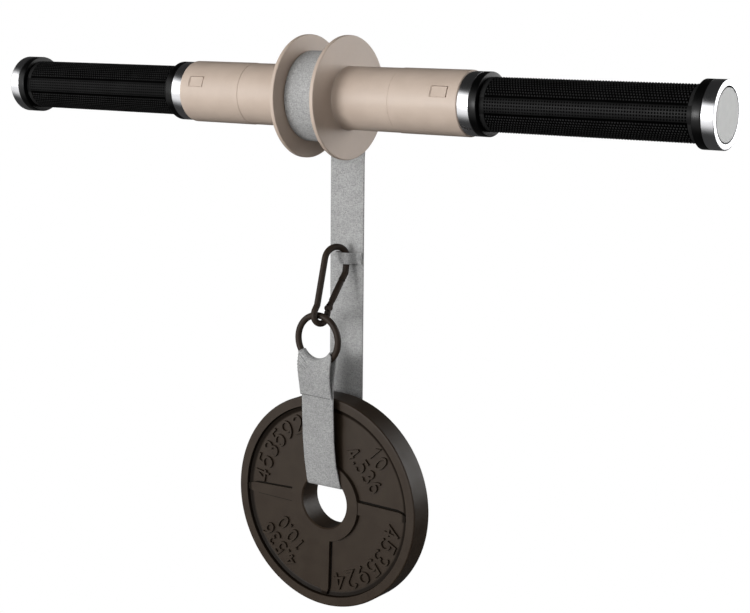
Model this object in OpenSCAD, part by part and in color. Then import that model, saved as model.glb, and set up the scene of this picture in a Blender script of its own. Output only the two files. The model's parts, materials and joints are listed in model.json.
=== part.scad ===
// Wrist roller: a take-apart bar with a strap spool in its middle, and a weight plate slung in the strap.
// Millimetres. The origin is the middle of the bar's axis, +X runs along the bar, +Y to the back, +Z up.

/* [Bar] */
// Length of the bar over its end caps
bar_len = 762; // [720:1:820]
// Diameter of the bright and the black rings
ring_d = 55; // [53:0.5:58]
// Length of a bright end cap
cap_len = 10.8; // [9:0.1:14]
// Length of the black ring next to an end cap
outer_collar_len = 7.8; // [5:0.1:12]
// Length of the bright ring next to the spool
bright_ring_len = 11; // [8:0.1:14]
// Length of the black ring between the bright ring and the grip
inner_collar_len = 7.4; // [5:0.1:12]
// Diameter of a grip
grip_d = 46.5; // [42:0.5:50]
// Diameter of the disc that closes an end cap
disc_d = 42.5; // [40:0.5:46]
// Depth of the recess that the disc fills
disc_t = 6; // [4:0.1:8]
// Outer diameter of a handle tube
tube_d = 32; // [28:0.5:33]
// Wall of a handle tube
tube_wall = 2; // [1.5:0.1:3]

/* [Spool] */
// Length of the spool over both sleeves
spool_len = 305.2; // [290:0.2:320]
// Diameter of a sleeve
sleeve_d = 57; // [56:0.1:60]
// Distance between the two seams where the sleeves meet the hub
seam_span = 165.6; // [150:0.2:180]
// Diameter of the hub between the flanges and the sleeves
hub_d = 56.4; // [54:0.1:58]
// Diameter of a flange
flange_d = 111; // [104:0.5:118]
// Thickness of a flange
flange_t = 4.1; // [3:0.1:6]
// Width of the groove between the flanges
groove_w = 39.4; // [39:0.1:42]
// Outer diameter of the steel tube inside the spool
core_d = 38; // [37:0.1:40]
// Wall of the steel tube inside the spool
core_wall = 2.4; // [2:0.1:2.4]
// Diameter of the pin that anchors the strap in the spool
anchor_d = 5; // [4:0.1:6]

/* [Latches] */
// Distance of a latch window's middle from the spool's end
window_in = 18.7; // [15:0.1:25]
// Length of a window along the bar
window_len = 17.4; // [15:0.1:19]
// Width of a window around the bar
window_w = 10.2; // [9:0.1:12]
// Angle of the windows above the front of the bar
window_angle = 21.8; // [15:0.1:30]
// Depth of a window
window_depth = 6.5; // [6:0.1:7.5]
// How far the latch button's face lies under the sleeve's surface
button_sink = 1.1; // [0.8:0.1:1.6]
// How far a latch button can be pressed
button_travel = 2.5; // [2:0.1:3]
// Diameter of the button's peg and of the lug that locks both tubes
peg_d = 8; // [7:0.1:9]
// Wire diameter of a latch spring
latch_wire_d = 0.8; // [0.6:0.1:1]

/* [Strap] */
// Width of the strap
strap_w = 38; // [34:0.5:38.5]
// Thickness of the strap
strap_t = 1.6; // [1.4:0.1:1.8]
// Outer diameter of the strap wound on the spool
wound_d = 83; // [78:0.5:90]
// Number of outer turns that are wound one by one over the plain core
wound_turns = 2; // [1:1:3]
// Gap between the turns
turn_gap = 0.5; // [0.45:0.05:0.8]
// Distance of the hanging strap behind the bar's axis
hang_y = 30.8; // [29:0.1:35]
// Height below the axis at which the strap has come forward to its hanging line
hang_z = 59; // [52:1:80]
// Height below the axis at which the strap's load side starts
split_z = 139.5; // [134:0.5:140]
// Height of the sewn hem below the axis
hem_z = 275; // [268:1:282]

/* [Weight plate] */
// Outer diameter of the plate
plate_d = 203; // [190:1:220]
// Thickness of the plate at its rim
plate_t = 25; // [20:0.5:28]
// Diameter of the plate's bore
bore_d = 50.8; // [50:0.1:53]
// Height of the plate's middle below the axis
plate_z = 377.6; // [372:0.2:395]
// Distance of the plate's front face in front of the axis
plate_front = 3.8; // [2:0.1:6]
// Width of the raised rim
rim_w = 9; // [7:0.1:12]
// Diameter of the raised ring round the bore
boss_d = 77; // [72:0.5:84]
// Depth of the sunk field between the rim and the boss
field_depth = 3.8; // [2.8:0.1:5]
// Height of the ribs above the sunk field
rib_h = 3; // [1.5:0.1:3.4]
// Width of a rib at the boss
rib_root_w = 11.8; // [10:0.1:15]
// Width of a rib at its tip
rib_tip_w = 6.8; // [5:0.1:9]

/* [Hook and ring] */
// Diameter of the hook's wire and of the ring's wire
wire_d = 6; // [5:0.1:6.2]
// Outer diameter of the ring
o_ring_d = 51; // [49:0.5:54]
// Distance of the ring's plane in front of the axis
o_ring_y = 14; // [13:0.1:16]
// Length of the snap hook
hook_len = 80.4; // [78:0.1:84]
// Outer width of the snap hook at its top
hook_w = 30.2; // [29:0.1:32]
// Outer width of the snap hook at its bottom
hook_foot_w = 20.2; // [20.2:0.1:21.2]
// Diameter of the gate
gate_d = 5; // [4:0.1:5.4]
// Diameter of the gate's hinge pin
gate_pin_d = 2; // [1.6:0.1:2.4]
// Height of the webbing band that holds the hook
band_h = 10.8; // [10:0.1:12]
// Height of the band's middle below the axis
band_z = 148.5; // [148:0.5:150]

/* [Hidden] */
$fn = 96;

tan_plastic = [0.86, 0.80, 0.75];
black_plastic = [0.09, 0.09, 0.10];
chrome = [0.80, 0.81, 0.83];
steel = [0.55, 0.56, 0.58];
webbing = [0.70, 0.70, 0.70];
bronze = [0.24, 0.20, 0.17];
iron = [0.30, 0.26, 0.23];

// Running clearance between round pieces that slide in each other
fit = 0.05;
// Clearance that keeps soft pieces and loose hardware off their seats
seat = 0.3;
// Overlap that fuses two shapes of one solid
fuse = 0.02;
// Rounding of the moulded edges
edge = 1;
// Rounding of the rings' edges
ring_edge = 0.8;

// Stations along the bar, from its middle outwards
spool_end = spool_len / 2;
window_x = spool_end - window_in;
seam_x = seam_span / 2;
flange_in = groove_w / 2;
flange_out = flange_in + flange_t;
collar_in = spool_end + bright_ring_len;
grip_in = collar_in + inner_collar_len;
cap_out = bar_len / 2;
cap_in = cap_out - cap_len;
grip_out = cap_in - outer_collar_len;
disc_in = cap_out - disc_t;

// Radii of the nested tubes
core_r = core_d / 2;
core_bore_r = core_r - core_wall;
tube_r = tube_d / 2;
tube_bore_r = tube_r - tube_wall;
ring_r = ring_d / 2;
ring_bore_r = tube_r + fit;
grip_r = grip_d / 2;
hub_r = hub_d / 2;
sleeve_r = sleeve_d / 2;
// How deep a handle tube reaches into the spool from its end
tube_insert = 62;
tube_in = spool_end - tube_insert;
disc_gap = 0.5;
plug_len = 24;
stud_r = 6;
// The anchor pin is a little shorter than the strap is wide; its slot has this wall and this play
anchor_short = 2;
anchor_wall = 2;
slot_play = 0.8;
anchor_len = strap_w - anchor_short;
anchor_r = hub_r - anchor_d / 2 - anchor_wall;
slot_w = strap_t + slot_play;

// Latch buttons, in a frame whose Z axis points out of the window
button_gap = 0.35;
// Open slit between the button and the window's right end
button_slit = 1.6;
button_top = sleeve_r - button_sink;
window_floor = sleeve_r - window_depth;
button_foot = window_floor + button_travel + seat;
peg_foot = core_r + fit;
lug_head_r = 5.5;
lug_head_t = 1.2;
lug_head_top = sqrt(tube_bore_r * tube_bore_r - lug_head_r * lug_head_r) - seat;
lug_bore_r = 2.7;
lug_roof_t = 1.8;
lug_roof = core_r - lug_roof_t;
latch_spring_r = 2;
latch_turns = 8;
latch_rings = 8;
latch_sides = 6;
latch_spring_foot = fit - sqrt(pow(tube_bore_r, 2) - pow(latch_spring_r + latch_wire_d / 2, 2));
latch_spring_top = lug_roof - button_travel - seat;

// Strap winding, wound from its free end at the back inwards
turn_pitch = strap_t + turn_gap;
wound_r = wound_d / 2 - strap_t / 2;
turn_steps = 48;

// Strap runs, as centre lines in the YZ plane
plate_back = plate_t - plate_front;
cloth_off = seat + strap_t / 2;
back_y = plate_back + cloth_off;
front_y = -plate_front - cloth_off;
bore_r = bore_d / 2;
bore_edge = 1.2;
strap_half = strap_w / 2;
// Height of the flat strap's middle in the round bore: its edges touch the bore
bore_strap_z = -plate_z + sqrt(bore_r * bore_r - strap_half * strap_half) - seat - strap_t / 2;
bend_r = 3.2;
bend_steps = 8;
run_steps = 12;
// The strap behind the plate leans towards the bore from this far below the plate's top
lean_in_drop = 8;
lean_in_top = plate_z - plate_d / 2 + lean_in_drop;
back_cut_up = 4;
back_cut = bore_strap_z + bend_r + back_cut_up;
front_cut = bore_strap_z + bend_r;

// Ring
o_ring_r = (o_ring_d - wire_d) / 2;
wrap_r = wire_d / 2 + cloth_off;
wrap_angle = asin(strap_half / o_ring_r);
foot_wire_r = hook_foot_w / 2 - wire_d / 2;
hook_seat = 6.5;
wire_r = wire_d / 2;

// Snap hook, in its own plane: x across, z along, origin at the lowest point of its wire's middle
hook_turn = 68;
hook_tilt = 21;
hook_lean = -11;
hook_at_x = 3;
hook_ahead = 1.9;
hook_at_y = -o_ring_y - hook_ahead;
hook_at_z = -204.9;
foot_mid = -1;
foot_left = foot_mid - foot_wire_r;
foot_right = foot_mid + foot_wire_r;
// The left leg bends in to the waist, from where the spine leans out to the wide shoulder of the crown
leg_bend = [foot_left, 10];
waist = [-6.7, 15.8];
crown_r = 10;
shoulder_r = hook_w - wire_d - crown_r;
crown_left = -9;
crown_mid = crown_left + shoulder_r;
crown_right = crown_mid + crown_r;
crown_top = hook_len - wire_d;
crown_straight = 1;
shoulder_foot = [crown_left, crown_top - shoulder_r - crown_straight];
crown_foot = [crown_right, crown_top - crown_r - crown_straight];
// The nose: how far its bend lies outside the crown's end, and both its ends below the crown's top
nose_out = 1.1;
nose_in = 1.3;
nose_bend_down = 21.2;
nose_down = 29;
nose_bend = [crown_right + nose_out, crown_top - nose_bend_down];
nose_end = [crown_right - nose_in, crown_top - nose_down];
nose_dir = (nose_end - nose_bend) / norm(nose_end - nose_bend);
hinge_x = foot_right;
hinge_z = 16.5;
tab_t = 2.6;
tab_r = 2.4;
tab_h = 3.6;
tab_sink = 1;
leg_top = hinge_z - tab_h;
gate_gap = 0.5;
gate_run = norm(nose_end - [hinge_x, hinge_z]);
gate_lean = atan2(nose_end[0] - hinge_x, nose_end[1] - hinge_z);
knuckle_r = 3;
knuckle_top = 5.4;
// Skirt at the gate's foot
skirt_r = 3.4;
skirt_foot = 2.2;
skirt_h = 1.8;
slot_gap = 0.2;
fork_r = tab_r + seat;
slot_top = tab_r + 0.8;
collar_r = 2.8;
collar_h = 2;
nose_collar_r = 3.25;
nose_collar_h = 1;
ring_drop = 0.5;
o_ring_z = hook_at_z + hook_seat - o_ring_r + ring_drop;

// Webbing band
band_t = 1.3;
eye_bore_r = 4.45;
// Length of the band's double end that is sewn to the strap
sewn_len = 8;

function turned_x(p, a) = [p[0], p[1] * cos(a) - p[2] * sin(a), p[1] * sin(a) + p[2] * cos(a)];
function turned_y(p, a) = [p[0] * cos(a) + p[2] * sin(a), p[1], p[2] * cos(a) - p[0] * sin(a)];
function turned_z(p, a) = [p[0] * cos(a) - p[1] * sin(a), p[0] * sin(a) + p[1] * cos(a), p[2]];
// World place of a point (x, z) of the hook's own plane
function hook_point(x, z) =
    turned_z(turned_y(turned_x([x, 0, z], hook_lean), hook_tilt), hook_turn)
    + [hook_at_x, hook_at_y, hook_at_z];
// Middle of the wire where the band holds it
band_wire_down = 8.4;
band_wire_in = 1.1;
band_wire = hook_point(crown_right - band_wire_in, crown_top - band_wire_down);
strap_face_y = hang_y - strap_t / 2;
// The wire leans through the eye, so that the eye's middle lies a little beside it
eye_aside = [0.21, -0.03];
eye_x = band_wire[0] - eye_aside[0];
eye_y = band_wire[1] - eye_aside[1];

function unit(v) = v / norm(v);
function side(p, i) =
    let (d = unit(p[min(i + 1, len(p) - 1)] - p[max(i - 1, 0)])) [-d[1], d[0]];
// Outline of a strip of thickness t that follows the centre line p
function strip(p, t) = concat(
    [for (i = [0 : len(p) - 1]) p[i] + side(p, i) * t / 2],
    [for (i = [len(p) - 1 : -1 : 0]) p[i] - side(p, i) * t / 2]
);
function arc(c, r, a0, a1, n) = [for (i = [0 : n]) let (a = a0 + (a1 - a0) * i / n) c + r * [cos(a), sin(a)]];
function smooth(u) = u * u * (3 - 2 * u);
// Gentle S from (y0, z0) down to (y1, z1) that starts and ends upright
function sway(y0, z0, y1, z1, n) = [
    for (i = [0 : n]) [y0 + (y1 - y0) * smooth(i / n), z0 + (z1 - z0) * i / n]
];

function wound_at(a, off) = (wound_r - turn_pitch * a / 360 + off) * [cos(a), sin(a)];
wound_outer = [for (i = [0 : turn_steps * (wound_turns + 1)]) wound_at(360 * i / turn_steps, strap_t / 2)];
wound_inner = [for (i = [turn_steps * wound_turns : -1 : 0]) wound_at(360 * i / turn_steps, -strap_t / 2)];
wound_gaps = [
    for (i = [0 : turn_steps * wound_turns])
    norm(wound_at(360 * i / turn_steps, -strap_t / 2) - wound_at(360 * (i / turn_steps + 1), strap_t / 2))
];
echo(least_gap_in_strap_winding = min(wound_gaps));

// Ring with rounded outer edges, along X from x0 to x1
function ring_outline(r0, r1, x0, x1, e) = concat(
    [[r0, x0]],
    arc([r1 - e, x0 + e], e, -90, 0, 6),
    arc([r1 - e, x1 - e], e, 0, 90, 6),
    [[r0, x1]]
);

// Solid of revolution about the bar's axis; points are (radius, x)
module lathe(points) {
    rotate([90, 0, 90]) rotate_extrude() polygon(points);
}
module at_left() {
    mirror([1, 0, 0]) children();
}
// Strip outline in the YZ plane, extruded across the strap's width
module strap_extrude(width) {
    rotate([90, 0, 90]) linear_extrude(width, center = true) children();
}
// Frame of a latch: Z points out of the window
module latch_frame() {
    translate([window_x, 0, 0]) rotate([90 - window_angle, 0, 0]) children();
}
module hook_frame() {
    translate([hook_at_x, hook_at_y, hook_at_z]) rotate([hook_lean, hook_tilt, hook_turn]) children();
}
module rod(a, b, r) {
    v = b - a;
    translate([a[0], 0, a[1]]) rotate([0, atan2(v[0], v[1]), 0]) cylinder(h = norm(v), r = r, $fn = 48);
}
module ball(p, r) {
    translate([p[0], 0, p[1]]) sphere(r = r, $fn = 48);
}

// Steel tube that carries both spool halves and takes the handle tubes
module core_tube() {
    color(steel) difference() {
        lathe([[core_bore_r, -spool_end + edge], [core_r, -spool_end + edge],
               [core_r, spool_end - edge], [core_bore_r, spool_end - edge]]);
        latch_frame() cylinder(h = sleeve_r, r = peg_d / 2 + button_gap);
        at_left() latch_frame() cylinder(h = sleeve_r, r = peg_d / 2 + button_gap);
    }
}

// Half of the spool: drum, flange and hub in one moulding
module spool_half() {
    difference() {
        lathe(concat(
            [[core_r + fit, 0], [hub_r, 0], [hub_r, flange_in]],
            arc([flange_d / 2 - edge, flange_in + edge], edge, -90, 0, 6),
            arc([flange_d / 2 - edge, flange_out - edge], edge, 0, 90, 6),
            arc([hub_r + edge, flange_out + edge], edge, 270, 180, 6),
            [[hub_r, seam_x], [core_r + fit, seam_x]]
        ));
        rotate([90, 0, 0]) translate([0, 0, anchor_r]) rotate([0, 90, 0])
            cylinder(h = anchor_len, r = anchor_d / 2 + fit, center = true, $fn = 48);
        translate([-anchor_len / 2, -hub_r - edge, -slot_w / 2])
            cube([anchor_len, hub_r + edge - anchor_r, slot_w]);
    }
}
module spool_right() {
    color(tan_plastic) spool_half();
}
module spool_left() {
    color(tan_plastic) at_left() spool_half();
}
module anchor_pin() {
    color(steel) rotate([90, 0, 0]) translate([0, 0, anchor_r]) rotate([0, 90, 0])
        cylinder(h = anchor_len - 2 * fit, r = anchor_d / 2, center = true, $fn = 48);
}

// Sleeve that covers the joint of handle and spool, with the latch window
module sleeve() {
    difference() {
        lathe(concat(
            [[core_r + fit, seam_x], [sleeve_r - edge / 2, seam_x], [sleeve_r, seam_x + edge / 2]],
            arc([sleeve_r - edge, spool_end - edge], edge, 0, 90, 6),
            [[core_r + fit, spool_end]]
        ));
        latch_frame() {
            translate([-window_len / 2, -window_w / 2, window_floor])
                cube([window_len, window_w, window_depth + edge]);
            cylinder(h = window_floor + fuse, r = peg_d / 2 + button_gap);
        }
    }
}
module sleeve_right() {
    color(tan_plastic) sleeve();
}
module sleeve_left() {
    color(tan_plastic) at_left() sleeve();
}

// Push button in the window, from start along the bar; its peg stands on the lug
module button(start) {
    cap_l = window_len - button_slit - button_gap;
    cap_w = window_w - 2 * button_gap;
    latch_frame() {
        translate([start, -cap_w / 2, button_foot]) cube([cap_l, cap_w, button_top - button_foot]);
        translate([0, 0, peg_foot]) cylinder(h = button_foot - peg_foot, r = peg_d / 2, $fn = 48);
    }
}
module button_right() {
    color(tan_plastic) button(-window_len / 2 + button_gap);
}
module button_left() {
    color(tan_plastic) at_left() button(-window_len / 2 + button_slit);
}
// Hollow lug that locks the handle tube in the core tube
module latch_lug() {
    latch_frame() difference() {
        union() {
            translate([0, 0, lug_head_top - lug_head_t]) cylinder(h = lug_head_t, r = lug_head_r, $fn = 48);
            translate([0, 0, lug_head_top - lug_head_t])
                cylinder(h = core_r - lug_head_top + lug_head_t, r = peg_d / 2, $fn = 48);
        }
        translate([0, 0, lug_head_top - 2 * lug_head_t])
            cylinder(h = lug_roof - lug_head_top + 2 * lug_head_t, r = lug_bore_r, $fn = 48);
    }
}
module latch_lug_right() {
    color(steel) latch_lug();
}
module latch_lug_left() {
    color(steel) at_left() latch_lug();
}

// Ring of points round the wire at turn angle a of a spring
function coil_ring(a, r, z, w, sides) = [
    for (s = [0 : sides - 1])
    let (q = w * cos(360 * s / sides), h = w * sin(360 * s / sides))
    [(r + q) * cos(a), (r + q) * sin(a), z + h]
];
module coil(r, z0, z1, turns, w) {
    rings = turns * latch_rings;
    pts = [
        for (i = [0 : rings])
        each coil_ring(360 * i / latch_rings, r, z0 + w + (z1 - z0 - 2 * w) * i / rings, w, latch_sides)
    ];
    walls = [
        for (i = [0 : rings - 1], s = [0 : latch_sides - 1])
        let (a = i * latch_sides + s, b = i * latch_sides + (s + 1) % latch_sides)
        each [[a, a + latch_sides, b + latch_sides], [a, b + latch_sides, b]]
    ];
    foot = [for (s = [1 : latch_sides - 2]) [0, s, s + 1]];
    last = rings * latch_sides;
    head = [for (s = [1 : latch_sides - 2]) [last, last + s + 1, last + s]];
    polyhedron(points = pts, faces = concat(walls, foot, head));
}
// Latch spring: it stands on the handle tube's far wall and reaches into the lug
module latch_spring() {
    latch_frame() coil(latch_spring_r, latch_spring_foot, latch_spring_top, latch_turns, latch_wire_d / 2);
}
module latch_spring_right() {
    color(steel) latch_spring();
}
module latch_spring_left() {
    color(steel) at_left() latch_spring();
}

// Steel tube of a handle
module handle_tube() {
    difference() {
        lathe([[tube_bore_r, tube_in], [tube_r, tube_in], [tube_r, disc_in], [tube_bore_r, disc_in]]);
        latch_frame() cylinder(h = sleeve_r, r = peg_d / 2 + button_gap);
    }
}
module handle_tube_right() {
    color(steel) handle_tube();
}
module handle_tube_left() {
    color(steel) at_left() handle_tube();
}

module bright_ring() {
    lathe(ring_outline(ring_bore_r, ring_r, spool_end, collar_in, ring_edge / 2));
}
module bright_ring_right() {
    color(chrome) bright_ring();
}
module bright_ring_left() {
    color(chrome) at_left() bright_ring();
}
module inner_collar() {
    lathe(ring_outline(ring_bore_r, ring_r, collar_in, grip_in, ring_edge));
}
module inner_collar_right() {
    color(black_plastic) inner_collar();
}
module inner_collar_left() {
    color(black_plastic) at_left() inner_collar();
}
module grip() {
    lathe([[ring_bore_r, grip_in], [grip_r, grip_in], [grip_r, grip_out], [ring_bore_r, grip_out]]);
}
module grip_right() {
    color(black_plastic) grip();
}
module grip_left() {
    color(black_plastic) at_left() grip();
}
module outer_collar() {
    lathe(ring_outline(ring_bore_r, ring_r, grip_out, cap_in, ring_edge));
}
module outer_collar_right() {
    color(black_plastic) outer_collar();
}
module outer_collar_left() {
    color(black_plastic) at_left() outer_collar();
}
module end_cap() {
    recess_r = disc_d / 2 + disc_gap;
    lathe(concat(
        [[ring_bore_r, cap_in]],
        arc([ring_r - ring_edge, cap_in + ring_edge], ring_edge, -90, 0, 6),
        arc([ring_r - ring_edge, cap_out - ring_edge], ring_edge, 0, 90, 6),
        [[recess_r, cap_out], [recess_r, disc_in], [ring_bore_r, disc_in]]
    ));
}
module end_cap_right() {
    color(chrome) end_cap();
}
module end_cap_left() {
    color(chrome) at_left() end_cap();
}
// Plug in the tube's end that the disc's stud is pressed into
module end_plug() {
    lathe([[stud_r + fit, disc_in - plug_len], [tube_bore_r - fit, disc_in - plug_len],
           [tube_bore_r - fit, disc_in], [stud_r + fit, disc_in]]);
}
module end_plug_right() {
    color(black_plastic) end_plug();
}
module end_plug_left() {
    color(black_plastic) at_left() end_plug();
}
module end_disc() {
    lathe([[0, disc_in - plug_len + edge], [stud_r, disc_in - plug_len + edge], [stud_r, disc_in],
           [disc_d / 2, disc_in], [disc_d / 2, cap_out], [0, cap_out]]);
}
module end_disc_right() {
    color(chrome) end_disc();
}
module end_disc_left() {
    color(chrome) at_left() end_disc();
}

// Strap on the spool: single outer turns over a plain core, in one unbroken piece
module strap_winding() {
    tail_end = anchor_r + anchor_d / 2 + fit;
    color(webbing) {
        strap_extrude(strap_w) difference() {
            polygon(concat(wound_outer, wound_inner));
            circle(r = hub_r + fit);
        }
        strap_extrude(anchor_len - 2 * fit) translate([-hub_r - edge, -strap_t / 2])
            square([hub_r + edge - tail_end, strap_t]);
    }
}
// From the winding's back down to the load side; it shortens as the bar winds
module strap_upper_run() {
    run = concat([[wound_r, 0]], sway(wound_r, -turn_pitch, hang_y, -hang_z, run_steps), [[hang_y, -split_z]]);
    color(webbing) strap_extrude(strap_w) polygon(strip(run, strap_t));
}
// Down behind the plate to the back edge of its bore
module strap_back_run() {
    run = concat([[hang_y, -split_z]], sway(hang_y, -lean_in_top, back_y, back_cut, run_steps));
    color(webbing) strap_extrude(strap_w) polygon(strip(run, strap_t));
}
// Through the bore, from the back face to the front face
module strap_bore_run() {
    run = concat(
        [[back_y, back_cut]],
        arc([back_y - bend_r, bore_strap_z + bend_r], bend_r, 0, -90, bend_steps),
        arc([front_y + bend_r, bore_strap_z + bend_r], bend_r, -90, -180, bend_steps)
    );
    color(webbing) strap_extrude(strap_w) polygon(strip(run, strap_t));
}
// Up the front of the plate, through the ring and back down to the hem
module strap_front_run() {
    wire_low = o_ring_z - o_ring_r;
    ring_top = o_ring_z;
    behind_y = -o_ring_y + wrap_r;
    ahead_y = -o_ring_y - wrap_r;
    lean = (behind_y - front_y) / (wire_low - front_cut);
    hem_y = front_y + lean * (-hem_z - front_cut) - strap_t - fit;
    color(webbing) union() {
        difference() {
            strap_extrude(strap_w) {
                polygon(strip([[front_y, front_cut], [behind_y, wire_low], [behind_y, ring_top]], strap_t));
                polygon(strip([[hem_y, -hem_z], [ahead_y, wire_low], [ahead_y, ring_top]], strap_t));
            }
            translate([0, 0, o_ring_z]) rotate([90, 0, 0])
                cylinder(h = 4 * o_ring_y, r = o_ring_r - fuse, center = true);
            translate([-strap_w, -2 * o_ring_y, o_ring_z - sqrt(pow(o_ring_r, 2) - pow(strap_half, 2))])
                cube([2 * strap_w, 4 * o_ring_y, o_ring_d]);
        }
        translate([0, -o_ring_y, o_ring_z]) rotate([90, 0, 0]) rotate([0, 0, -90 - wrap_angle])
            rotate_extrude(angle = 2 * wrap_angle) intersection() {
                translate([o_ring_r, 0]) difference() {
                    circle(r = wrap_r + strap_t / 2, $fn = 48);
                    circle(r = wrap_r - strap_t / 2, $fn = 48);
                }
                translate([0, -o_ring_y]) square([o_ring_r, 2 * o_ring_y]);
            }
    }
}

// Band sewn to the strap, with a loop that the hook's wire passes through
module webbing_band() {
    eye_r = eye_bore_r + band_t;
    sewn_x = strap_half - sewn_len;
    color(webbing) translate([0, 0, -band_z - band_h / 2]) linear_extrude(band_h) difference() {
        union() {
            translate([eye_x, eye_y]) circle(r = eye_r);
            polygon([[eye_x, strap_face_y - fit], [eye_x, eye_y - eye_r],
                     [sewn_x, strap_face_y - 2 * band_t - fit],
                     [strap_half, strap_face_y - 2 * band_t - fit], [strap_half, strap_face_y - fit]]);
        }
        translate([eye_x, eye_y]) circle(r = eye_bore_r);
    }
}

// Bent wire of the snap hook, with the flat tab that the gate turns on
module hook_body() {
    color(bronze) hook_frame() {
        translate([foot_mid, 0, foot_wire_r]) rotate([90, 0, 0]) rotate([0, 0, 180]) rotate_extrude(angle = 180)
            translate([foot_wire_r, 0]) circle(r = wire_r, $fn = 48);
        rod([foot_left, foot_wire_r], leg_bend, wire_r);
        ball(leg_bend, wire_r + fuse);
        rod(leg_bend, waist, wire_r);
        ball(waist, wire_r + fuse);
        rod(waist, shoulder_foot, wire_r);
        ball(shoulder_foot, wire_r + fuse);
        rod(shoulder_foot, shoulder_foot + [0, crown_straight], wire_r);
        translate([crown_mid, 0, crown_top - shoulder_r]) rotate([90, 0, 0]) rotate([0, 0, 90])
            rotate_extrude(angle = 90) translate([shoulder_r, 0]) circle(r = wire_r, $fn = 48);
        translate([crown_mid, 0, crown_top - crown_r]) rotate([90, 0, 0])
            rotate_extrude(angle = 90) translate([crown_r, 0]) circle(r = wire_r, $fn = 48);
        rod(crown_foot, crown_foot + [0, crown_straight], wire_r);
        ball(crown_foot, wire_r + fuse);
        rod(nose_bend, crown_foot, wire_r);
        ball(nose_bend, wire_r + fuse);
        rod(nose_end, nose_bend, wire_r);
        rod(nose_end - nose_dir * nose_collar_h, nose_end, nose_collar_r);
        rod([foot_right, foot_wire_r], [foot_right, leg_top], wire_r);
        difference() {
            union() {
                translate([hinge_x, 0, hinge_z]) rotate([90, 0, 0])
                    cylinder(h = tab_t, r = tab_r, center = true, $fn = 48);
                translate([hinge_x - tab_r, -tab_t / 2, leg_top - tab_sink])
                    cube([2 * tab_r, tab_t, tab_h + tab_sink]);
            }
            translate([hinge_x, 0, hinge_z]) rotate([90, 0, 0])
                cylinder(h = wire_d, r = gate_pin_d / 2 + fit, center = true, $fn = 32);
        }
    }
}
// Gate: a rod with a forked foot and a wider head that meets the nose
module hook_gate() {
    nose_lean = atan2(-nose_dir[0], -nose_dir[1]);
    head_z = gate_run - gate_gap - sin(abs(nose_lean - gate_lean)) * nose_collar_r;
    color(bronze) hook_frame() translate([hinge_x, 0, hinge_z]) rotate([0, gate_lean, 0]) difference() {
        union() {
            rotate([90, 0, 0]) cylinder(h = 2 * knuckle_r, r = fork_r, center = true, $fn = 48);
            cylinder(h = knuckle_top, r = gate_d / 2 + seat, $fn = 48);
            translate([0, 0, skirt_foot]) cylinder(h = skirt_h, r1 = skirt_r, r2 = gate_d / 2, $fn = 48);
            cylinder(h = head_z, r = gate_d / 2, $fn = 48);
            translate([0, 0, head_z - collar_h]) cylinder(h = collar_h, r = collar_r, $fn = 48);
        }
        translate([-wire_d, -tab_t / 2 - slot_gap, -wire_d])
            cube([2 * wire_d, tab_t + 2 * slot_gap, wire_d + slot_top]);
        rotate([90, 0, 0]) cylinder(h = 3 * knuckle_r, r = gate_pin_d / 2 + fit, center = true, $fn = 32);
    }
}
module gate_pin() {
    color(bronze) hook_frame() translate([hinge_x, 0, hinge_z]) rotate([90, 0, 0])
        cylinder(h = 2 * knuckle_r, r = gate_pin_d / 2, center = true, $fn = 32);
}
module o_ring() {
    color(bronze) translate([0, -o_ring_y, o_ring_z]) rotate([90, 0, 0]) rotate_extrude()
        translate([o_ring_r, 0]) circle(r = wire_r, $fn = 48);
}

// Weight plate in its own frame: Z points to the front, the sunk fields and ribs are on both faces
module weight_plate() {
    half_t = plate_t / 2;
    plate_r = plate_d / 2;
    lip_r = plate_r - rim_w;
    boss_r = boss_d / 2;
    rim_slope = 1.5;
    wall_slope = 0.9;
    floor_slope_w = 4.8;
    floor_slope_h = 0.8;
    boss_slope = 0.4;
    rib_gap = 0.6;
    rib_taper = 1.3;
    rib_blunt = 0.6;
    rib_sink = 1;
    floor_z = half_t - field_depth;
    rib_out = lip_r - wall_slope - rib_gap;
    face = concat(
        [[bore_r, half_t - bore_edge], [bore_r + bore_edge, half_t], [boss_r - boss_slope, half_t]],
        [[boss_r, floor_z], [lip_r - floor_slope_w, floor_z], [lip_r - wall_slope, floor_z + floor_slope_h]],
        [[lip_r, half_t]],
        arc([plate_r - rim_slope, half_t - rim_slope], rim_slope, 90, 0, 6)
    );
    back = [for (i = [len(face) - 1 : -1 : 0]) [face[i][0], -face[i][1]]];
    color(iron) translate([0, plate_back - half_t, -plate_z]) rotate([90, 0, 0]) {
        rotate_extrude() polygon(concat(face, back));
        for (a = [0, 90, 180, 270], s = [0, 1]) {
            rotate([0, 180 * s, a]) translate([0, 0, floor_z - rib_sink]) linear_extrude(rib_h + rib_sink)
                polygon([[boss_r - rib_sink, -rib_root_w / 2], [rib_out - rib_tip_w, -rib_tip_w / 2 - rib_taper],
                         [rib_out, -rib_tip_w / 2 + rib_blunt], [rib_out, rib_tip_w / 2 - rib_blunt],
                         [rib_out - rib_tip_w, rib_tip_w / 2 + rib_taper], [boss_r - rib_sink, rib_root_w / 2]]);
        }
    }
}

core_tube();
spool_left();
spool_right();
sleeve_left();
sleeve_right();
anchor_pin();
button_left();
button_right();
latch_lug_left();
latch_lug_right();
latch_spring_left();
latch_spring_right();
handle_tube_left();
handle_tube_right();
bright_ring_left();
bright_ring_right();
inner_collar_left();
inner_collar_right();
grip_left();
grip_right();
outer_collar_left();
outer_collar_right();
end_cap_left();
end_cap_right();
end_plug_left();
end_plug_right();
end_disc_left();
end_disc_right();
strap_winding();
strap_upper_run();
strap_back_run();
strap_bore_run();
strap_front_run();
webbing_band();
hook_body();
hook_gate();
gate_pin();
o_ring();
weight_plate();
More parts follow.
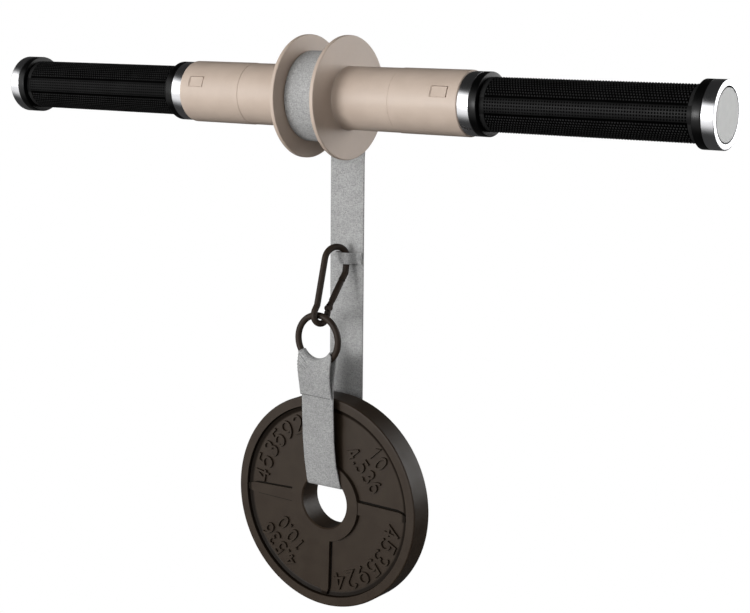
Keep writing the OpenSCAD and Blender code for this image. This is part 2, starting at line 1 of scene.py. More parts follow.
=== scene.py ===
"""Wrist roller: textured grips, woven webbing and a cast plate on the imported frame, in a white studio."""
import json
import math

import bpy
import numpy as np
from mathutils import Matrix, Vector


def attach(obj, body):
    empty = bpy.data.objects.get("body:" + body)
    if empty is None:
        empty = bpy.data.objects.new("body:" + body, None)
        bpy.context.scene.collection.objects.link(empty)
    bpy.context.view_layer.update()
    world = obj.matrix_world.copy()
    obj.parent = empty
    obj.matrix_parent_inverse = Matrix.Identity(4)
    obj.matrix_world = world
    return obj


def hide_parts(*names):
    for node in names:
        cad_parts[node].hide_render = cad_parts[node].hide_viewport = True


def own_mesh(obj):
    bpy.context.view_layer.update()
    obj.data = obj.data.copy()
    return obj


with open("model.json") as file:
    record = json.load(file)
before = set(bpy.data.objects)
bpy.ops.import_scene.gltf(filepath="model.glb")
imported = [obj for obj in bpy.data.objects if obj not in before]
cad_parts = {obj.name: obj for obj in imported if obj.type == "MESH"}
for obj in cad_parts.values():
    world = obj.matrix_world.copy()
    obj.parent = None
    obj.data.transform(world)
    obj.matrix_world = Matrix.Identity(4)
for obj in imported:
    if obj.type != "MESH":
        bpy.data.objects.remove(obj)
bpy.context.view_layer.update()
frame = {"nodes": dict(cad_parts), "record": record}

MM = 0.001
TAU = 2 * math.pi

# Sizes in millimetres, as in the part's source
BRIGHT_IN = 152.6
BRIGHT_OUT = 163.6
GRIP_IN = 171.0
GRIP_OUT = 362.4
CAP_IN = 370.2
BAR_END = 381.0
GRIP_R = 23.25
RING_OUT = 27.5
TUBE_R = 16.05
SLEEVE_R = 28.5
WOUND_R = 40.7
STRAP_T = 1.6
STRAP_W = 38.0
HANG_Y = 30.8
HANG_Z = -59.0
SPLIT_Z = -139.5
HEM_Z = -275.0
RING_C = (0.0, -14.0, -220.4)
RING_R = 22.5
PLATE_C = (0.0, 8.7, -377.6)
PLATE_R = 101.5
PLATE_HALF = 12.5
FIELD_DEPTH = 3.8
BORE_R = 25.4
BAND_T = 1.3
BAND_Z = -148.5
BAND_HALF_H = 5.4


# Node helpers
def put(tree, socket, value):
    """Links value into socket, or sets it as the socket's own value."""
    if isinstance(value, bpy.types.NodeSocket):
        tree.links.new(value, socket)
    else:
        socket.default_value = value


def calc(tree, operation, a, b=0.0):
    """One Math node."""
    n = tree.nodes.new("ShaderNodeMath")
    n.operation = operation
    put(tree, n.inputs[0], a)
    put(tree, n.inputs[1], b)
    return n.outputs[0]


def mix_colour(tree, factor, a, b, blend="MIX"):
    """One Mix node on colours."""
    n = tree.nodes.new("ShaderNodeMix")
    n.data_type = "RGBA"
    n.blend_type = blend
    put(tree, n.inputs[0], factor)
    put(tree, n.inputs[6], a)
    put(tree, n.inputs[7], b)
    return n.outputs[2]


def noise(tree, vector, scale, detail=3.0, rough=0.55):
    """One 3-D Noise node, its value between 0 and 1."""
    n = tree.nodes.new("ShaderNodeTexNoise")
    put(tree, n.inputs["Vector"], vector)
    put(tree, n.inputs["Scale"], scale)
    n.inputs["Detail"].default_value = detail
    n.inputs["Roughness"].default_value = rough
    return n.outputs[0]


def ramp(tree, value, low, high, to_low=0.0, to_high=1.0, smooth=True):
    """One Map Range node."""
    n = tree.nodes.new("ShaderNodeMapRange")
    if smooth:
        n.interpolation_type = "SMOOTHSTEP"
    put(tree, n.inputs[0], value)
    for i, v in enumerate((low, high, to_low, to_high)):
        put(tree, n.inputs[1 + i], v)
    return n.outputs[0]


def new_group(name, inputs, outputs):
    """Node group with named sockets; gives the group, its inputs and its output node."""
    g = bpy.data.node_groups.new(name, "ShaderNodeTree")
    for label, kind, value in inputs:
        s = g.interface.new_socket(label, in_out="INPUT", socket_type=kind)
        if value is not None:
            s.default_value = value
    for label, kind in outputs:
        g.interface.new_socket(label, in_out="OUTPUT", socket_type=kind)
    return g, g.nodes.new("NodeGroupInput").outputs, g.nodes.new("NodeGroupOutput")


def use_group(tree, group, **inputs):
    """A group node in tree, with its inputs linked or set."""
    n = tree.nodes.new("ShaderNodeGroup")
    n.node_tree = group
    for key, value in inputs.items():
        put(tree, n.inputs[key], value)
    return n.outputs


def bump(tree, height, distance, strength=1.0):
    """One Bump node; distance in metres."""
    n = tree.nodes.new("ShaderNodeBump")
    put(tree, n.inputs["Height"], height)
    n.inputs["Distance"].default_value = distance
    n.inputs["Strength"].default_value = strength
    return n.outputs[0]


def material(name, metallic=0.0, roughness=0.5, **sockets):
    """A Principled material; gives (material, tree, shader)."""
    m = bpy.data.materials.new(name)
    m.use_nodes = True
    shader = m.node_tree.nodes["Principled BSDF"]
    shader.inputs["Metallic"].default_value = metallic
    shader.inputs["Roughness"].default_value = roughness
    for key, value in sockets.items():
        shader.inputs[key.replace("_", " ")].default_value = value
    return m, m.node_tree, shader


def rgb(r, g, b):
    """Colour from 8-bit screen values, as scene-linear RGBA."""
    def lin(c):
        """One channel, by the sRGB curve."""
        c /= 255
        return c / 12.92 if c <= 0.04045 else ((c + 0.055) / 1.055) ** 2.4
    return (lin(r), lin(g), lin(b), 1.0)


def separate(tree, vector):
    """X, Y and Z of a vector."""
    n = tree.nodes.new("ShaderNodeSeparateXYZ")
    put(tree, n.inputs[0], vector)
    return n.outputs


def vector_calc(tree, operation, a, b=(0.0, 0.0, 0.0)):
    """One Vector Math node; gives its outputs."""
    n = tree.nodes.new("ShaderNodeVectorMath")
    n.operation = operation
    put(tree, n.inputs[0], a)
    put(tree, n.inputs[1], b)
    return n.outputs


def shaded(tree, colour, shade):
    """A colour times a shade."""
    grey = tree.nodes.new("ShaderNodeCombineColor")
    for k in range(3):
        put(tree, grey.inputs[k], shade)
    return mix_colour(tree, 1.0, colour, grey.outputs[0], "MULTIPLY")


def object_coords(tree):
    """Object coordinates, in metres."""
    return tree.nodes.new("ShaderNodeTexCoord").outputs["Object"]


def uv_coords(tree):
    """The piece's own UV map, in metres."""
    return tree.nodes.new("ShaderNodeTexCoord").outputs["UV"]


# Shared groups
def make_grain():
    """Mottle: two scales of 3-D noise. Puts out Tone (0 to 1, slow) and Grain (0 to 1, fine)."""
    g, i, o = new_group("surface_grain",
                        [("Vector", "NodeSocketVector", None), ("Fine", "NodeSocketFloat", 2500.0),
                         ("Slow", "NodeSocketFloat", 60.0)],
                        [("Tone", "NodeSocketFloat"), ("Grain", "NodeSocketFloat")])
    put(g, o.inputs["Tone"], noise(g, i["Vector"], i["Slow"], 4.0, 0.5))
    put(g, o.inputs["Grain"], noise(g, i["Vector"], i["Fine"], 2.0, 0.5))
    return g


# Streaks in the yarns: noise scales along and across the strap, per metre, and an offset for each
WARP_STREAK = (300.0, 1300.0, 3.1)
WEFT_STREAK = (1200.0, 330.0, 9.7)
FIBRE_STREAK = (2600.0, 2600.0, 21.0)
YARN_SHARE = 0.62
YARN_EDGE = 0.15


def streaks(tree, u, v, along, across, offset):
    """Noise with a scale of its own along the strap and across it."""
    n = tree.nodes.new("ShaderNodeCombineXYZ")
    put(tree, n.inputs[0], calc(tree, "MULTIPLY", u, along))
    put(tree, n.inputs[1], calc(tree, "MULTIPLY", v, across))
    n.inputs[2].default_value = offset
    return noise(tree, n.outputs[0], 1.0, 2.0, 0.6)


def either(tree, factor, a, b):
    """Value a where the factor is 1, and b where it is 0."""
    rest = calc(tree, "SUBTRACT", 1.0, factor)
    return calc(tree, "ADD", calc(tree, "MULTIPLY", a, factor), calc(tree, "MULTIPLY", b, rest))


def make_weave():
    """Plain weave in UV metres, U along the strap and V across it.

    With a = pi v / p and b = pi u / q, warp yarns show where sin a sin b > 0 and weft yarns elsewhere.
    Height is |sin a| on warp and |sin b| on weft. Heather is a per-yarn blend of long and short noise.
    """
    g, i, o = new_group("heather_weave",
                        [("UV", "NodeSocketVector", None), ("Warp pitch", "NodeSocketFloat", 0.00085),
                         ("Weft pitch", "NodeSocketFloat", 0.0010)],
                        [("Heather", "NodeSocketFloat"), ("Height", "NodeSocketFloat")])
    u, v = separate(g, i["UV"])[:2]
    sa = calc(g, "SINE", calc(g, "DIVIDE", calc(g, "MULTIPLY", v, math.pi), i["Warp pitch"]))
    sb = calc(g, "SINE", calc(g, "DIVIDE", calc(g, "MULTIPLY", u, math.pi), i["Weft pitch"]))
    over = ramp(g, calc(g, "MULTIPLY", sa, sb), -YARN_EDGE, YARN_EDGE)
    yarn = either(g, over, streaks(g, u, v, *WARP_STREAK), streaks(g, u, v, *WEFT_STREAK))
    fibre = streaks(g, u, v, *FIBRE_STREAK)
    yarn, fibre = calc(g, "MULTIPLY", yarn, YARN_SHARE), calc(g, "MULTIPLY", fibre, 1 - YARN_SHARE)
    put(g, o.inputs["Heather"], calc(g, "ADD", yarn, fibre))
    put(g, o.inputs["Height"], either(g, over, calc(g, "ABSOLUTE", sa), calc(g, "ABSOLUTE", sb)))
    return g


GRAIN = make_grain()
WEAVE = make_weave()

# Materials
TONE_SPAN = (0.3, 0.7)
GAP_SHADE = (0.0, 0.55, 0.66, 1.0)
CLOUD_SCALE = 90.0
CLOUD_SHADE = (0.35, 0.65, 0.95, 1.03)
WEAVE_DEPTH = 0.00014
WEAVE_STRENGTH = 0.8
# Painted shade and light on the webbing by height in metres: (from, to, shade below, shade above)
LOWER_STRAP_PAINTED_SHADE = (-0.27, -0.22, 0.86, 1.0)
SPOOL_PAINTED_LIGHT = (-0.08, -0.05, 1.0, 1.1)
# Painted shade by radius in metres: (from, to, shade within, shade without)
# Painted shade on the plate's rim slope and groove, its highlight dimmed too
RIM_PAINTED_SHADE = ((0.0865, 0.0892, 1.0, 0.3), (0.0920, 0.0927, 0.3, 1.0))
# Painted shade in the grips' hollows: pits, lines and low ground between studs near black, highlight dimmed
GRIP_HOLLOW_SHADE = ((0.02280, 0.02310, 0.05, 1.0),)
# Painted light on the grips' studs above and below the pits: (from height, to height, gain within, gain
# without)
STUD_PAINTED_LIGHT = (0.0068, 0.0075, 1.0, 2.6)


def plain_material(name, dark, light, metallic=0.0, roughness=0.5, fine=2500.0, slow=60.0, depth=0.00002,
                   rough_span=0.06, **sockets):
    """Colour between dark and light by slow mottle, fine grain as bump, roughness varied a little."""
    m, t, s = material(name, metallic, roughness, **sockets)
    g = use_group(t, GRAIN, Vector=object_coords(t), Fine=fine, Slow=slow)
    put(t, s.inputs["Base Color"], mix_colour(t, ramp(t, g["Tone"], *TONE_SPAN), dark, light))
    rough = ramp(t, g["Tone"], *TONE_SPAN, roughness - rough_span, roughness + rough_span, False)
    put(t, s.inputs["Roughness"], rough)
    put(t, s.inputs["Normal"], bump(t, g["Grain"], depth))
    return m


def paint_shade_by_radius(mat, middle, axis, steps):
    """Paint shade into a material's colour and dim its highlight by the distance from an axis.

    Each step is (from radius, to radius, shade within, shade without), and the greatest of them holds.
    """
    t = mat.node_tree
    s = t.nodes["Principled BSDF"]
    off = vector_calc(t, "SUBTRACT", object_coords(t), middle)[0]
    flat = vector_calc(t, "MULTIPLY", off, [0 if k == axis else 1 for k in range(3)])[0]
    radius = vector_calc(t, "LENGTH", flat)["Value"]
    shade = ramp(t, radius, *steps[0])
    for step in steps[1:]:
        shade = calc(t, "MAXIMUM", shade, ramp(t, radius, *step))
    put(t, s.inputs["Base Color"], shaded(t, s.inputs["Base Color"].links[0].from_socket, shade))
    level = s.inputs["Specular IOR Level"]
    put(t, level, calc(t, "MULTIPLY", shade, level.default_value))


def paint_light_off_middle(mat, steps):
    """Paint light into a material away from the level plane through the bar, by height above or below it."""
    t = mat.node_tree
    s = t.nodes["Principled BSDF"]
    height = calc(t, "ABSOLUTE", separate(t, object_coords(t))[2])
    gain = ramp(t, height, *steps)
    put(t, s.inputs["Base Color"], shaded(t, s.inputs["Base Color"].links[0].from_socket, gain))


def webbing_material():
    """Heather grey webbing: yarns from dark to light, dark gaps, slow clouds, painted shade on the flap,
    painted light on the winding.
    """
    m, t, s = material("webbing_heather", 0.0, 0.85, Sheen_Weight=0.2, Sheen_Roughness=0.5,
                       Specular_IOR_Level=0.2)
    w = use_group(t, WEAVE, UV=uv_coords(t))
    colour = mix_colour(t, ramp(t, w["Heather"], *TONE_SPAN), rgb(124, 124, 124), rgb(192, 192, 191))
    gap = ramp(t, w["Height"], *GAP_SHADE)
    cloudy = ramp(t, noise(t, object_coords(t), CLOUD_SCALE), *CLOUD_SHADE)
    height = separate(t, object_coords(t))[2]
    # Painted shade low down at the flap, and painted light on the winding
    painted_by_height = calc(t, "MULTIPLY", ramp(t, height, *LOWER_STRAP_PAINTED_SHADE), ramp(t, height, *SPOOL_PAINTED_LIGHT))
    shade = calc(t, "MULTIPLY", calc(t, "MULTIPLY", gap, cloudy), painted_by_height)
    put(t, s.inputs["Base Color"], shaded(t, colour, shade))
    put(t, s.inputs["Normal"], bump(t, w["Height"], WEAVE_DEPTH, WEAVE_STRENGTH))
    return m


MAT = {
    "tan_plastic": plain_material("tan_plastic_satin", rgb(186, 169, 155), rgb(191, 174, 160),
                                  roughness=0.42, fine=1800.0, depth=0.000012, Specular_IOR_Level=0.4),
    "grip_rubber": plain_material("grip_rubber", rgb(17, 17, 17), rgb(22, 22, 22),
                                  roughness=0.34, fine=3000.0, depth=0.00001, Specular_IOR_Level=0.045),
    "black_collar": plain_material("black_collar_gloss", rgb(2, 2, 2), rgb(4, 4, 4),
                                   roughness=0.3, fine=1200.0, depth=0.000006, Specular_IOR_Level=0.18),
    "chrome": plain_material("chrome_polished", rgb(205, 205, 207), rgb(212, 212, 214), 1.0,
                             roughness=0.2, fine=900.0, slow=35.0, depth=0.0000015, rough_span=0.03),
    "brushed_disc": plain_material("disc_satin", rgb(218, 219, 217), rgb(225, 226, 224),
                                   roughness=0.55, fine=2200.0, slow=120.0, depth=0.000008),
    "steel": plain_material("steel_drawn", rgb(150, 152, 156), rgb(172, 174, 178), 1.0, roughness=0.32),
    "plug_plastic": plain_material("plug_moulded", rgb(26, 26, 26), rgb(34, 34, 34)),
    "webbing": webbing_material(),
    "bronze": plain_material("bronze_coat", rgb(42, 34, 28), rgb(49, 40, 33),
                             fine=2600.0, slow=110.0, Specular_IOR_Level=0.14),
    "plate_iron": plain_material("plate_enamel", rgb(46, 37, 29), rgb(49, 40, 31),
                                 roughness=0.40, fine=1500.0, slow=70.0, Specular_IOR_Level=0.16),
}
for entry in frame["record"]["subparts"]:
    obj = frame["nodes"][entry["node"]]
    obj.data.materials.clear()
    obj.data.materials.append(MAT[entry["material_slot"]])
# Painted shade: the plate's rim slope darkened and its highlight dimmed
paint_shade_by_radius(MAT["plate_iron"], [c * MM for c in PLATE_C], 1, RIM_PAINTED_SHADE)
# Painted shade in the grips' hollows
paint_shade_by_radius(MAT["grip_rubber"], (0, 0, 0), 0, GRIP_HOLLOW_SHADE)
# Painted light: the grips' upper and lower bands lightened
paint_light_off_middle(MAT["grip_rubber"], STUD_PAINTED_LIGHT)
# Dark plate colour for the strips along the ribs: painted shadow
RIB_SHADE_MAT = plain_material("rib_shadow_dark", rgb(14, 12, 10), rgb(20, 17, 14),
                        roughness=0.6, Specular_IOR_Level=0.05)
# Darker grey than the strap: the hem's stitching, and also painted shadow under the flap's edge
HEM_THREAD_SHADE = plain_material("hem_stitch_shadow_grey", rgb(92, 92, 92), rgb(112, 112, 112),
                        roughness=0.85, fine=3000.0, slow=900.0, depth=0.00003)


# Mesh helpers
def add_piece(name, verts, faces, slot, body, uvs=None, sharp=None, mat=None):
    """Mesh object from points in millimetres; uvs hold one (u, v) in metres for each face corner."""
    mesh = bpy.data.meshes.new(name)
    mesh.from_pydata((np.asarray(verts, float) * MM).tolist(), [], faces)
    if uvs is not None:
        layer = mesh.uv_layers.new(name="UVMap")
        layer.data.foreach_set("uv", np.asarray(uvs, np.float32).reshape(-1))
    mesh.polygons.foreach_set("use_smooth", [True] * len(mesh.polygons))
    if sharp:
        mesh.set_sharp_from_angle(angle=math.radians(sharp))
    mesh.materials.append(mat or MAT[slot])
    mesh.update()
    obj = bpy.data.objects.new(name, mesh)
    bpy.context.scene.collection.objects.link(obj)
    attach(obj, body)
    return obj


def grid(P, wrap_u=False, wrap_v=False, flip=False, UV=None, caps=False):
    """Faces of a grid of points P (nu, nv, 3), closed along either way, with face-corner UVs.

    UV has shape (nu + wrap_u, nv + wrap_v, 2). caps closes both ends along u with one face each.
    """
    nu, nv = P.shape[:2]
    i, j = np.meshgrid(np.arange(nu - (not wrap_u)), np.arange(nv - (not wrap_v)), indexing="ij")
    i, j = i.ravel(), j.ravel()
    corners = [(i, j), (i + 1, j), (i + 1, j + 1), (i, j + 1)]
    if flip:
        corners = corners[::-1]
    index = np.stack([(a % nu) * nv + (b % nv) for a, b in corners], 1)
    faces = index.tolist()
    uvs = None
    if UV is not None:
        uvs = np.stack([UV[a, b] for a, b in corners], 1).reshape(-1, 2)
    if caps:
        first = np.arange(nv)[::-1] if flip else np.arange(nv)
        last = first[::-1]
        faces += [first.tolist(), ((nu - 1) * nv + last).tolist()]
        if UV is not None:
            uvs = np.concatenate([uvs, UV[0, first], UV[-1, last]])
    return P.reshape(-1, 3), faces, uvs


def join(parts):
    """Joins (verts, faces) pairs into one."""
    verts, faces, base = [], [], 0
    for v, f in parts:
        verts.append(np.asarray(v, float))
        faces += [[k + base for k in face] for face in f]
        base += len(v)
    return np.concatenate(verts), faces


def smooth(t):
    """Smoothstep of t."""
    t = np.clip(t, 0, 1)
    return t * t * (3 - 2 * t)


def turned(x, r, a):
    """Points (x, -r cos a, r sin a) of a surface round the bar."""
    return np.stack(np.broadcast_arrays(x, -r * np.cos(a), r * np.sin(a)), -1)


# Grips: lengths in mm, angles round the bar in degrees
GRIP_PITCH = 2.56
GRIP_PLAIN = 9.0
ROW_STEP = 6.3
BAND_HALF = 17.5
BAND_MID = 1.5
LINE_HALF = 1.0
LINE_GAP = 1.0
PIT_ROWS = 5
STUD_ROWS = 22
PIT_DEPTH = 0.5
STUD_H = 0.5
LINE_DEPTH = 0.46
# A cell's four samples, as shares of its pitch, of which the two inner ones are its top
CELL_PHASES = np.array([-1 / 3, -1 / 6, 1 / 6, 1 / 3])
CELL_TOP = 0.2
# Smooth ends, drawn in to the collars: distance from the end and height
GRIP_LEAD = ((0.0, -2.2), (0.05, -0.5), (0.5, -0.1), (1.2, 0.0))
LEAD_GAP = 1.9


def grip_rows():
    """Rows round the sleeve in order: (degrees, phase, kind), kind being pit, line or a stud row's number."""
    half_rows = PIT_ROWS // 2
    lead_in = BAND_HALF + 2 * LINE_HALF + LINE_GAP
    step = (180 - 2 * lead_in) / STUD_ROWS
    rows = []
    for c in (BAND_MID, 180 + BAND_MID):
        cells = [(ROW_STEP * k, ROW_STEP, "pit") for k in range(-half_rows, half_rows + 1)]
        cells += [(lead_in + step * (k + 0.5), step, k) for k in range(STUD_ROWS)]
        rows += [(c + mid + p * width, p, kind) for mid, width, kind in cells for p in CELL_PHASES]
        for s in (-1, 1):
            edge = c + s * (BAND_HALF + LINE_HALF)
            rows += [(edge + d * LINE_HALF, None, "line") for d in (-1.0, -0.5, 0.5, 1.0)]
    return sorted(rows, key=lambda row: row[0] % 360)


def make_grip(name, side):
    """Grip sleeve P = (x, -r cos a, r sin a) with r = R + h(x, a).

    h is a trapezoid wave: square pits in a grid within 17.5 degrees of the front and the back, and staggered
    studs between them; thin smooth lines part the bands. Four samples a pitch, at +-1/6 and +-1/3 of it.
    """
    length = GRIP_OUT - GRIP_IN
    cells = int((length - GRIP_PLAIN) / GRIP_PITCH)
    start = (length - (cells - 1) * GRIP_PITCH) / 2
    xs = (start + GRIP_PITCH * (np.arange(cells)[:, None] + CELL_PHASES)).ravel()
    even = np.tile(np.abs(CELL_PHASES) < CELL_TOP, cells).astype(float)
    odd = 1.0 - even
    odd[:2] = 0.0
    odd[-2:] = 0.0
    rows = grip_rows()
    h = np.empty((len(xs), len(rows)))
    for j, (_, phase, kind) in enumerate(rows):
        top = phase is not None and abs(phase) < CELL_TOP
        if kind == "line":
            h[:, j] = -LINE_DEPTH
        elif kind == "pit":
            h[:, j] = -PIT_DEPTH * top * even
        else:
            h[:, j] = -STUD_H + STUD_H * top * (odd if kind % 2 else even)
    ends = GRIP_LEAD + ((start - LEAD_GAP, 0.0),)
    xs = np.concatenate([[p[0] for p in ends], xs, [length - p[0] for p in ends[::-1]]])
    lead = np.repeat([[p[1]] for p in ends], len(rows), axis=1)
    r = GRIP_R + np.concatenate([lead, h, lead[::-1]])
    P = turned((side * (GRIP_IN + xs))[:, None], r, np.radians([row[0] for row in rows]))
    verts, faces, _ = grid(P, wrap_v=True, flip=side > 0)
    obj = add_piece(name, verts, faces, "grip_rubber", "roller", sharp=38)
    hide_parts("grip_right" if side > 0 else "grip_left")


make_grip("grip_sleeve_right", 1)
make_grip("grip_sleeve_left", -1)

# Rings, collars and end caps
LATHE_STEPS = 224
BRIGHT_EDGE = 0.4
COLLAR_EDGE = 0.8
HOLE_EDGE = 0.3
CAP_HOLE = (22.5, 6.0)
# A black ring down in the gap round the end disc makes the gap read dark: painted shade
GROOVE_X = (376.0, 378.4)
GROOVE_R = (21.27, 22.46)
GROOVE_EDGE = 0.1


def corner(x, r, dx, dr):
    """Rounded corner of a profile: from dx before the corner along x to dr before it along r."""
    a = np.linspace(0, math.pi / 2, 6)
    return [(x + dx * (1 - math.sin(t)), r + dr * (1 - math.cos(t))) for t in a]


def make_ring(name, slot, ends, edge, side, node=None, radii=(TUBE_R, RING_OUT), hole=None):
    """Ring turned from a closed profile with rounded edges: P = (x, -r cos a, r sin a).

    hole is (radius, depth) of a flat-bottomed hole in its outer face.
    """
    x0, x1 = ends
    r0, r1 = radii
    profile = [(x0, r0)] + corner(x0, r1, edge, -edge)[::-1] + corner(x1, r1, -edge, -edge)
    if hole:
        hole_r, depth = hole
        profile += corner(x1, hole_r, -HOLE_EDGE, HOLE_EDGE)[::-1] + [(x1 - depth, hole_r), (x1 - depth, r0)]
    else:
        profile += [(x1, r0)]
    profile = np.array(profile)
    a = np.linspace(0, TAU, LATHE_STEPS, endpoint=False)
    P = turned(side * profile[:, 0:1], profile[:, 1:2], a)
    verts, faces, _ = grid(P, wrap_u=True, wrap_v=True, flip=side < 0)
    obj = add_piece(name, verts, faces, slot, "roller", sharp=30)
    if node:
        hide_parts(node)


for side, label in ((1, "right"), (-1, "left")):
    make_ring("bright_band_" + label, "chrome", (BRIGHT_IN, BRIGHT_OUT), BRIGHT_EDGE, side,
              "bright_ring_" + label)
    make_ring("inner_band_" + label, "black_collar", (BRIGHT_OUT, GRIP_IN), COLLAR_EDGE, side,
              "inner_collar_" + label)
    make_ring("outer_band_" + label, "black_collar", (GRIP_OUT, CAP_IN), COLLAR_EDGE, side,
              "outer_collar_" + label)
    make_ring("cap_shell_" + label, "chrome", (CAP_IN, BAR_END), COLLAR_EDGE, side, "end_cap_" + label,
              hole=CAP_HOLE)
    # Black ring in the end disc's gap: painted shade
    make_ring("cap_gap_shade_" + label, "black_collar", GROOVE_X, GROOVE_EDGE, side, radii=GROOVE_R)

# Gate sleeve: its rod's two ends, and (distance from the foot, radius) along it
GATE_FOOT = np.array([4.28, -5.45, -193.77])
GATE_TOP = np.array([5.79, 13.83, -168.78])
GATE_PROFILE = ((9.5, 2.45), (9.7, 2.85), (10.1, 3.0), (29.7, 3.0), (30.1, 2.85), (30.3, 2.45))


def gate_sleeve(name):
    """Tube over the gate's rod: circles of the profile's radii along the line from its foot to its top."""
    along = (GATE_TOP - GATE_FOOT) / np.linalg.norm(GATE_TOP - GATE_FOOT)
    side = np.cross(along, [1.0, 0.0, 0.0])
    side /= np.linalg.norm(side)
    third = np.cross(along, side)
    a = np.linspace(0, TAU, 48, endpoint=False)
    P = np.array([GATE_FOOT + along * s + r * (np.cos(a)[:, None] * side + np.sin(a)[:, None] * third)
                  for s, r in GATE_PROFILE])
    verts, faces, _ = grid(P, wrap_v=True, caps=True)
    add_piece(name, verts, faces, "bronze", "gate", sharp=40)


gate_sleeve("gate_sleeve")


# Webbing
def normals(mid):
    """Unit normals of a grid of points, from the cross product of its two differences."""
    n = np.cross(np.gradient(mid, axis=0), np.gradient(mid, axis=1))
    return n / np.linalg.norm(n, axis=2, keepdims=True)


def lengths(line):
    """Distance along a polyline at each of its points."""
    return np.concatenate([[0], np.cumsum(np.linalg.norm(np.diff(line, axis=0), axis=1))])


# A strap's rounded edge: its reach as a share of the thickness, and points as (reach, half thickness) shares
EDGE_OUT = 0.45
EDGE_ROUND = ((0.7, 0.72), (1.0, 0.0), (0.7, -0.72))


def cloth(mid, thick):
    """Closed webbing solid round a mid-surface mid (n, m, 3), n along and m across, with rounded edges.

    Its section goes along the face, round one edge, back along the other face and round the other edge.
    Gives (verts, faces, uvs) with UVs in metres along and round the section.
    """
    normal = normals(mid)
    across = np.gradient(mid, axis=1)
    across /= np.linalg.norm(across, axis=2, keepdims=True)
    h = thick / 2
    reach = EDGE_OUT * thick
    right = [mid[:, -1] + across[:, -1] * out * reach + normal[:, -1] * b * h for out, b in EDGE_ROUND]
    left = [mid[:, 0] - across[:, 0] * out * reach - normal[:, 0] * b * h for out, b in EDGE_ROUND]
    back = (mid - normal * h)[:, ::-1]
    P = np.concatenate([mid + normal * h, np.stack(right, 1), back, np.stack(left, 1)], 1)
    v = lengths(mid[0])
    edge = np.array([(1 - b) * h for _, b in EDGE_ROUND])
    width, half_way = v[-1], v[-1] + 2 * h
    v = np.concatenate([v, width + edge, half_way + width - v[::-1], half_way + width + edge, [2 * half_way]])
    u = lengths(mid[:, mid.shape[1] // 2])
    UV = np.stack(np.broadcast_arrays(u[:, None], v[None]), -1) * MM
    return grid(P, wrap_v=True, flip=True, UV=UV, caps=True)


def add_cloth(name, mid, body, *nodes, thick=STRAP_T):
    """A webbing piece round the mid-surface mid, which stands for the CAD nodes."""
    verts, faces, uvs = cloth(mid, thick)
    obj = add_piece(name, verts, faces, "webbing", body, uvs=uvs, sharp=60)
    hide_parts(*nodes)
    return obj


EDGE_IN = 0.72
HALF_W = STRAP_W / 2 - EDGE_IN
ACROSS = np.linspace(-HALF_W, HALF_W, 45)
S_POINTS = 24


def path_cloth(yz, x_shift=None):
    """Mid-surface of a strap that follows a path in the YZ plane: P = (v + shift, y, z)."""
    yz = np.asarray(yz, float)
    mid = np.empty((len(yz), len(ACROSS), 3))
    mid[..., 0] = ACROSS[None] + (0 if x_shift is None else np.asarray(x_shift)[:, None])
    mid[..., 1] = yz[:, 0:1]
    mid[..., 2] = yz[:, 1:2]
    return mid


def s_curve(y0, z0, y1, z1):
    """Gentle S from (y0, z0) down to (y1, z1) that starts and ends upright."""
    t = np.linspace(0, 1, S_POINTS)
    return np.stack([y0 + (y1 - y0) * smooth(t), z0 + (z1 - z0) * t], 1)


def resample_count(path, n):
    """n points of a polyline at an even step."""
    d = lengths(path)
    t = np.linspace(0, d[-1], n)
    return np.stack([np.interp(t, d, path[:, k]) for k in range(path.shape[1])], 1)


def resample(path, step):
    """Points of a polyline at about an even step."""
    path = np.asarray(path, float)
    return resample_count(path, max(2, int(round(lengths(path)[-1] / step)) + 1))


# Winding
WIND_TURNS = 7.6
WIND_PITCH = 1.72
TURN_STEPS = 90


def winding():
    """Mid-surface of the winding: a spiral r = R - p a / tau for nearly eight turns."""
    a = np.linspace(0, WIND_TURNS * TAU, int(WIND_TURNS * TURN_STEPS))
    r = WOUND_R - WIND_PITCH * a / TAU
    return path_cloth(np.stack([r * np.cos(a), r * np.sin(a)], 1))


add_cloth("strap_wound", winding(), "roller", "strap_winding")

# Upper run: leaves the winding and sways to the hanging line, then the straight part that the lift shortens
SWAY_TOP = -2.1
SWAY_TAIL = 0.6
CLOTH_STEP = 2.5

sway = s_curve(WOUND_R, SWAY_TOP, HANG_Y, HANG_Z)
upper = np.concatenate([[[WOUND_R, 0.0]], sway, [[HANG_Y, HANG_Z - SWAY_TAIL]]])
add_cloth("strap_hanging_lead", path_cloth(resample(upper, CLOTH_STEP)), "strap_top")
straight = resample([[HANG_Y, HANG_Z], [HANG_Y, SPLIT_Z]], CLOTH_STEP)
run_top = add_cloth("strap_hanging_top", path_cloth(straight), "strap_top", "strap_upper_run")
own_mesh(run_top)

# Load run: down behind the plate, through the bore, up the front, round the ring, down to the hem
BACK_Y = 22.3
FRONT_Y = -4.9
BORE_CLEAR = 0.3
BORE_Z = PLATE_C[2] + math.sqrt(BORE_R ** 2 - (STRAP_W / 2) ** 2) - BORE_CLEAR - STRAP_T / 2
BORE_SHIFT = 0.6
BEND = 3.2
BEND_LEAD = 4
BACK_STEP = 1.6
LEAN_DROP = 8
LEAN_TOP = PLATE_C[2] + PLATE_R - LEAN_DROP
WRAP_R = 4.1
WRAP_BACK = RING_C[1] + WRAP_R
WRAP_FRONT = RING_C[1] - WRAP_R
WIRE_LOW = RING_C[2] - RING_R
FRONT_CUT = BORE_Z + BEND
FLAP_GAP = 0.05
# How far the strap's right side stands off the plate, and over which heights it does from the bore and ring
FRONT_LIFT = 2.2
LIFT_FOOT = 26
LIFT_HEAD = 22
